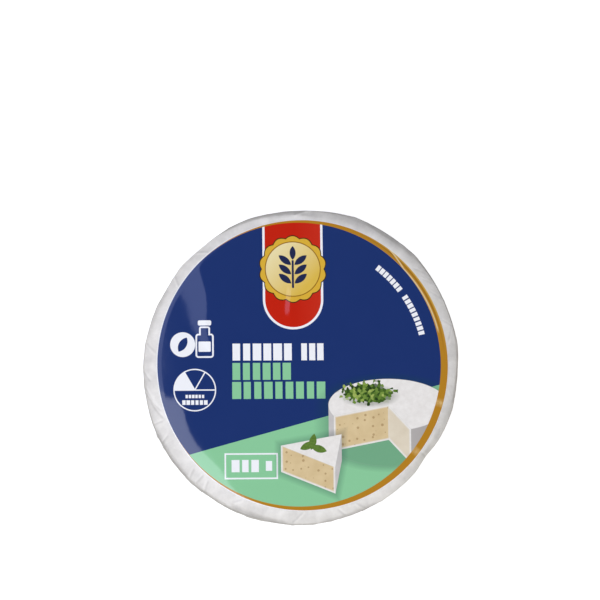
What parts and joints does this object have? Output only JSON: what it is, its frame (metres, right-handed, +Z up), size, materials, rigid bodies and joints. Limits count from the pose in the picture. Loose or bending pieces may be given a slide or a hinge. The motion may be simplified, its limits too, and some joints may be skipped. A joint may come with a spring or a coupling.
{
  "type": "wrapped round of soft cheese",
  "caption": "Round of soft white-rind cheese shut in a pleated white wrap, with a round printed paper label on its top; it lies flat.",
  "frame": {"origin": "middle of the base, on the surface that the pack lies on", "axes": "+Z up out of the labelled top, +Y towards the top of the label, +X to the label's right"},
  "size_m": [0.106, 0.1068, 0.0256],
  "materials": {
    "wrap": "white waxed paper, soft satin sheen",
    "label_print": "glossy printed paper, deep blue with a mint field and a gold edge"
  },
  "bodies": {
    "root": {"wrapped_cheese": "wrap", "label": "label_print"}
  },
  "joints": []
}
